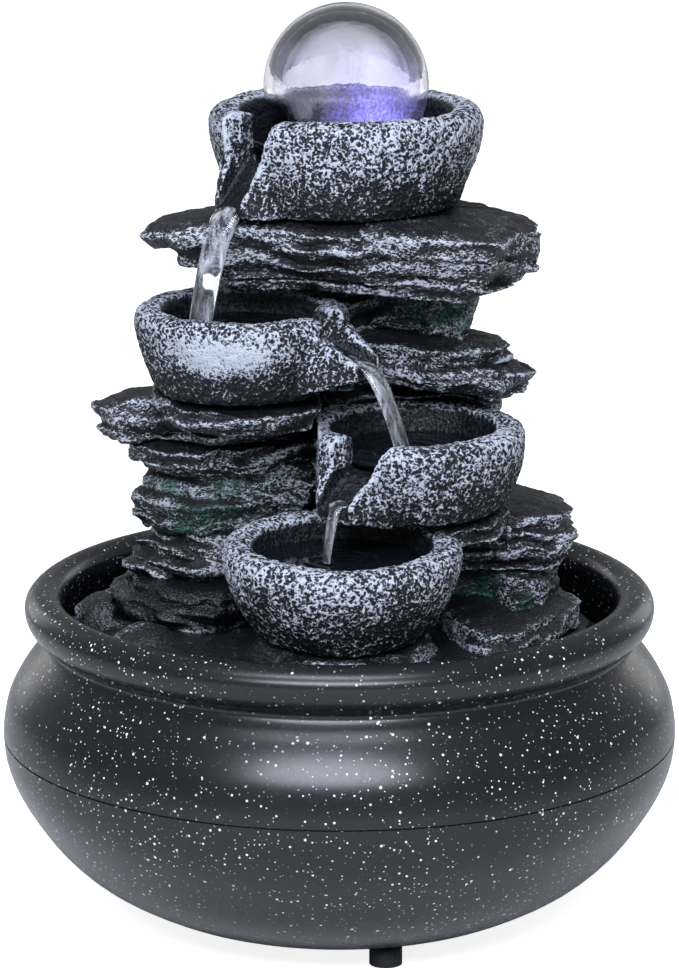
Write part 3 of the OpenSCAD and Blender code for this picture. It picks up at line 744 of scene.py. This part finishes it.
def surround_strength(tree):
    """How bright the studio is: white to the camera and a soft light on the fountain. Rays through
    glass see it white straight behind and dim at the sides, as between two dark panels."""
    path = tree.nodes.new("ShaderNodeLightPath")
    place = tree.nodes.new("ShaderNodeTexCoord")
    parts = tree.nodes.new("ShaderNodeSeparateXYZ")
    tree.links.new(place.outputs["Generated"], parts.inputs[0])
    through = ramp_between(tree, parts.outputs["Y"], (0.93, 0.998), (0.13, 1.0))
    light = choose(tree, path.outputs["Is Transmission Ray"], 0.36, through)
    return choose(tree, path.outputs["Is Camera Ray"], light, 1.0)


def ramp_between(tree, source, span, values):
    """A smooth step from one of two values to the other, while the source goes through a span."""
    node = tree.nodes.new("ShaderNodeMapRange")
    node.interpolation_type = "SMOOTHSTEP"
    tree.links.new(source, node.inputs["Value"])
    node.inputs["From Min"].default_value, node.inputs["From Max"].default_value = span
    node.inputs["To Min"].default_value, node.inputs["To Max"].default_value = values
    return node.outputs[0]


def choose(tree, switch, off, on):
    """The value off or on, by a switch of 0 or 1."""
    node = tree.nodes.new("ShaderNodeMix")
    tree.links.new(switch, node.inputs["Factor"])
    for name, value in (("A", off), ("B", on)):
        if hasattr(value, "is_output"):
            tree.links.new(value, node.inputs[name])
        else:
            node.inputs[name].default_value = value
    return node.outputs["Result"]


def backdrop():
    """A pale surround that also lights the fountain softly."""
    world = bpy.data.worlds.new("studio")
    bpy.context.scene.world = world
    world.use_nodes = True
    tree = world.node_tree
    surround = tree.nodes["Background"]
    surround.inputs["Color"].default_value = (0.96, 0.98, 1.0, 1)
    tree.links.new(surround_strength(tree), surround.inputs["Strength"])


def lamps():
    """Two wide lamps in front and above, and a weak one behind each side."""
    cool = (0.80, 0.87, 1.0)
    soft_light("key", (-0.06, -0.93, 0.74), (0, -0.09, 0.08), (1.0, 0.4), 21, cool)
    soft_light("top", (-0.06, -0.40, 1.20), (0, 0, 0.1), (0.85, 0.3), 10, (0.82, 0.88, 1.0))
    for name, x in (("side_left", -0.9), ("side_right", 0.9)):
        soft_light(name, (x, 1.3, 0.35), (0, 0, 0.12), (0.5, 0.9), 1.6)


def floor():
    """A pale round floor that shows white to the camera and behind glass."""
    bm = bmesh.new()
    bmesh.ops.create_circle(bm, cap_ends=True, radius=6, segments=96)
    mesh = bpy.data.meshes.new("floor")
    bm.to_mesh(mesh)
    bm.free()
    obj = new_object("floor", mesh)
    nodes = Nodes("pale_floor")
    nodes.set(Base_Color=(0.7, 0.7, 0.7), Roughness=0.9, Specular_IOR_Level=0.1)
    path = nodes.add("ShaderNodeLightPath")
    parts = nodes.add("ShaderNodeSeparateXYZ")
    nodes.link(nodes.place, parts.inputs[0])
    far = ramp_between(nodes.tree, parts.outputs["Y"], (0.1, 0.5), (0.0, 1.0))
    through = nodes.math("MULTIPLY", path.outputs["Is Transmission Ray"], far)
    seen = nodes.math("MAXIMUM", path.outputs["Is Camera Ray"], through)
    nodes.set(Emission_Color=(1.0, 1.0, 1.0), Emission_Strength=nodes.math("MULTIPLY", seen, 0.85))
    shade(obj, nodes.material)


def falling_water():
    """Clear water with pale streaks of foam along its fall."""
    nodes = Nodes("falling_water")
    streaks = nodes.noise(380, 2, 0.5, stretch=(1, 1, 0.06))
    foam = nodes.ramp(streaks, [(0.44, 0.02), (0.68, 0.34)])
    nodes.bump(foam, 0.3, 0.4)
    return nodes.set(Base_Color=(0.80, 0.82, 0.86), Roughness=0.06, IOR=1.33,
                     Transmission_Weight=nodes.math("SUBTRACT", 1.0, foam))


def dark_water():
    """Deep, still water that only reflects."""
    nodes = Nodes("bowl_water")
    nodes.bump(nodes.noise(90, 2), 0.3, 0.15)
    return nodes.set(Base_Color=(0.0035, 0.0045, 0.0065), Roughness=0.05, IOR=1.33,
                     Specular_IOR_Level=0.4)


def led_glow():
    """The blue light of the chips under the ball."""
    nodes = Nodes("led_glow")
    return nodes.set(Base_Color=(0.3, 0.3, 1.0), Emission_Color=(0.16, 0.12, 1.0), Emission_Strength=40.0)


# ---------------------------------------------------------------- the fountain

camera()
backdrop()
lamps()
floor()
bpy.context.scene.view_settings.view_transform = "Standard"

plastic = basin_plastic()
adopt("basin_lower_shell", plastic)
adopt("basin_upper_shell", plastic)

stone = painted_stone("cast_bowl_stone", dark=(0.0032, 0.0036, 0.0048), middle=(0.055, 0.060, 0.072),
                      light=(0.33, 0.352, 0.395), stops=(0.34, 0.52, 0.74), network=1.15, crackle=1.1,
                      scratches=0.36, roughness=0.6, specular=0.22)
slate = painted_stone("slate", dark=(0.0036, 0.0038, 0.0048), middle=(0.026, 0.027, 0.033),
                      light=(0.30, 0.315, 0.35), stops=(0.44, 0.66, 0.96), network=0.95, crackle=1.15,
                      scratches=0.62, roughness=0.48, specular=0.35, stretch=(0.8, 0.8, 1.3))
bowl_piece("top_bowl", stone, 20, voxel=0.6)
bowl_piece("left_bowl", stone, 27, cell=1.7, pale=((-35, -38, 184), (23, 16, 8.5)))
bowl_piece("right_bowl", stone, 34, cell=1.7)
bowl_piece("front_bowl", stone, 41, cell=1.8)

SLATES = {
    "rock_skirt": dict(droop=0, taper=0, voxel=0.85, wet=1.0, ledge=1.0),
    "slate_left_foot": dict(wet=1.0),
    "slate_left_low": dict(wet=0.6),
    "slate_left_mid": dict(moss=0.8, taper=7),
    "slate_left_ledge": dict(taper=3),
    "slate_left_high": dict(droop=3.5, taper=8),
    "slate_right_foot": dict(taper=0),
    "slate_right_neck": dict(moss=1.0, taper=0),
    "slate_right_low": dict(droop=3, taper=8),
    "slate_back": dict(taper=0),
    "slate_upper": dict(droop=3, taper=6),
    "slate_upper_neck": dict(moss=1.0, taper=0),
    "slate_crown": dict(droop=3.5, taper=5, wedge=10, paint=0.04),
    "rock_spine": dict(droop=0, taper=0, moss=0.5),
}
for number, (node, settings) in enumerate(SLATES.items()):
    slate_piece(node, slate, 100 + 31 * number, **settings)

crystal_ball()
still = dark_water()
falling = falling_water()
pool("pool_top", "top_bowl", clear("water", (0.86, 0.9, 0.93), 0.05, 1.33, 160, 0.3), 31)
pool("pool_left", "left_bowl", still, 23.2)
pool("pool_right", "right_bowl", still, 24.2)
pool("pool_front", "front_bowl", still, 25.5)
stream("stream_top", "top_bowl", 11, BOWLS["left_bowl"]["water"], (9.6, 7.2), falling, 3.6, swing=0.8)
stream("stream_left", "left_bowl", 12.5, BOWLS["right_bowl"]["water"], (8.4, 7.6), falling, 3.2)
stream("stream_right", "right_bowl", 3.5, BOWLS["front_bowl"]["water"], (4.4, 2.6), falling, 1.6)

rubber = plain("black_rubber", (0.012, 0.012, 0.013), 0.6)
case = plain("black_pump_plastic", (0.016, 0.016, 0.019), 0.4)
for node in ("basin_gasket", "rubber_feet", "cable_grommet", "suction_cups", "shaft_bushes", "ball_seat"):
    adopt(node, rubber)
for node in ("pump_housing", "pump_volute", "intake_cover", "led_housing"):
    adopt(node, case)
jacket = plain("lead_jacket", (0.01, 0.01, 0.011), 0.45)
adopt("pump_lead", jacket)
adopt("led_lead", jacket)
adopt("rotor_shaft", plain("white_ceramic", (0.72, 0.71, 0.67), 0.3))
connector = plain("connector_nylon", (0.66, 0.64, 0.57), 0.4)
adopt("led_socket", connector)
adopt("led_plug", connector)
grey_plastic = plain("impeller_plastic", (0.06, 0.065, 0.075), 0.35)
adopt("impeller", grey_plastic)
adopt("flow_adjuster", grey_plastic)
adopt("rotor_magnet", plain("ferrite_magnet", (0.06, 0.06, 0.065), 0.45, metallic=0.3))
adopt("riser_tube", clear("clear_tube", (0.85, 0.88, 0.9), 0.08, 1.45))
adopt("led_board", plain("circuit_board", (0.012, 0.09, 0.045), 0.4))
adopt("led_chips", led_glow())
adopt("led_lens", clear("led_lens_plastic", (0.9, 0.92, 1.0), 0.2, 1.46))
